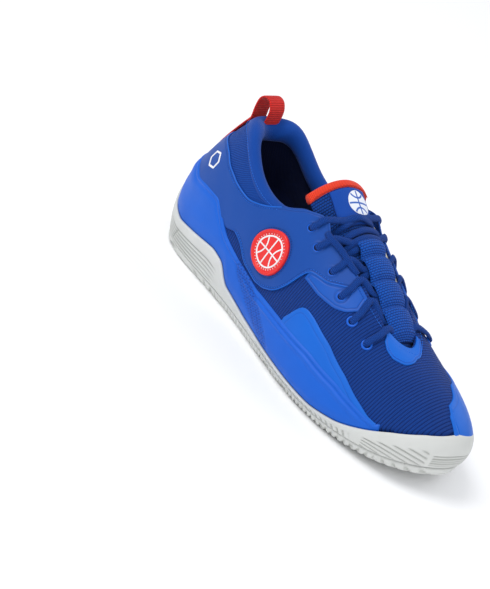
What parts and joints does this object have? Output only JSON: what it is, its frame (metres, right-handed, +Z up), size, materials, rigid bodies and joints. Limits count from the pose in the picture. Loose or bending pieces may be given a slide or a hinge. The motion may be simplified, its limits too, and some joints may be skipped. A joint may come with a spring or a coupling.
{
  "type": "low-cut basketball shoe",
  "caption": "Low-cut lace-up court shoe for the right foot, with a cupped rubber outsole, padded collar, hinged tongue top and heel pull loop.",
  "frame": {"origin": "middle of the shoe's plan box, on the plane that the tread stands on", "axes": "+X to the toe, +Y to the inner side of the foot, +Z up"},
  "size_m": [0.2911, 0.1067, 0.1236],
  "materials": {
    "sole_rubber": "matte moulded rubber",
    "foam": "closed-cell foam",
    "cup_foam": "satin moulded foam with a smooth skin",
    "board": "stitched fibre board",
    "insole_foam": "knit-faced foam",
    "mesh": "fine ribbed jacquard mesh",
    "stiffener": "thermoplastic sheet",
    "lining": "brushed knit",
    "collar_fabric": "diagonal weave and smooth knit",
    "quarter_leather": "smooth synthetic leather",
    "film": "satin thermoplastic film",
    "edge_foam": "cut foam and felt edge",
    "eyelet": "embossed ring",
    "tongue_mesh": "open hole mesh",
    "binding": "ribbed grosgrain",
    "label": "smooth printed label",
    "webbing": "coarse woven webbing",
    "lace": "ribbed oval lace",
    "badge_rubber": "soft moulded rubber",
    "badge_print": "raised print",
    "pull_webbing": "woven webbing"
  },
  "bodies": {
    "shoe": {"outsole": "sole_rubber", "midsole_core": "foam", "sidewall_cup": "cup_foam", "strobel_board": "board", "insole": "insole_foam", "upper_mesh": "mesh", "toe_puff": "stiffener", "heel_counter": "stiffener", "vamp_lining": "lining", "heel_lining": "lining", "collar_textile": "collar_fabric", "collar_roll": "collar_fabric", "quarter_lateral": "quarter_leather", "quarter_medial": "quarter_leather", "quarter_heel": "quarter_leather", "eyestay_film_lateral": "film", "eyestay_film_medial": "film", "forefoot_film_lateral": "film", "forefoot_film_medial": "film", "throat_patch": "film", "throat_foam_lateral": "edge_foam", "throat_foam_medial": "edge_foam", "eyelets_lateral": "eyelet", "eyelets_medial": "eyelet", "tongue_body": "tongue_mesh", "tongue_webbing": "webbing", "lace": "lace", "badge_disc": "badge_rubber", "badge_lines": "badge_print", "heel_emblem": "badge_print", "pull_strip": "pull_webbing"},
    "tongue_top": {"tongue_flap": "tongue_mesh", "tongue_binding": "binding", "tongue_label": "label"},
    "heel_loop": {"pull_loop": "pull_webbing"}
  },
  "joints": [
    {"name": "tongue_fold", "type": "hinge", "parent": "shoe", "child": "tongue_top", "pos_m": [-0.0262, 0.0041, 0.108], "axis": [0, 1, 0], "range_deg": [-4, 25], "stiffness_Nm_per_rad": 0.05},
    {"name": "loop_bend", "type": "hinge", "parent": "shoe", "child": "heel_loop", "pos_m": [-0.1258, 0.0004, 0.1047], "axis": [0, 1, 0], "range_deg": [-20, 2], "stiffness_Nm_per_rad": 0.02}
  ]
}
